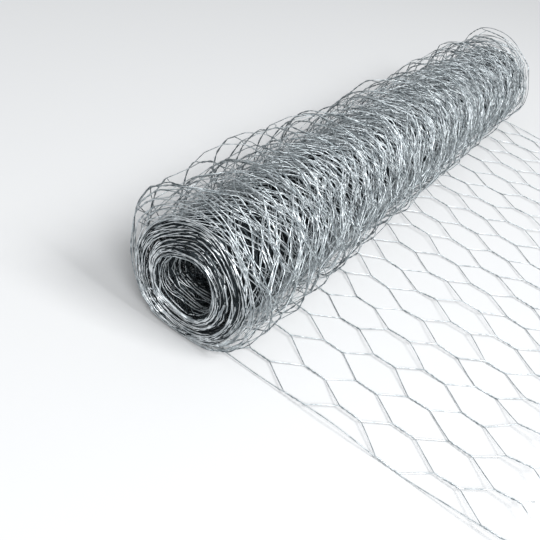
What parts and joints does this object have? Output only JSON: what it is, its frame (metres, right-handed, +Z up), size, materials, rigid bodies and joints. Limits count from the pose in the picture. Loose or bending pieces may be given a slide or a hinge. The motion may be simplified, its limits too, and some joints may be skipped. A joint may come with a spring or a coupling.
{
  "type": "roll of chicken wire",
  "caption": "Roll of galvanised hexagonal wire netting lying on its side, open through the middle, with its loose end drawn out flat from underneath.",
  "frame": {"origin": "on the floor under the middle of the part's box, roll and loose end together", "axes": "+Y along the roll, from the near end to the far end; +X out along the loose end; +Z up from the floor"},
  "size_m": [0.4629, 0.92, 0.156],
  "materials": {
    "galvanised_wire": "satin zinc coating, bright on the crowns and grey in the hollows"
  },
  "bodies": {
    "root": {"wire_netting": "galvanised_wire"}
  },
  "joints": []
}
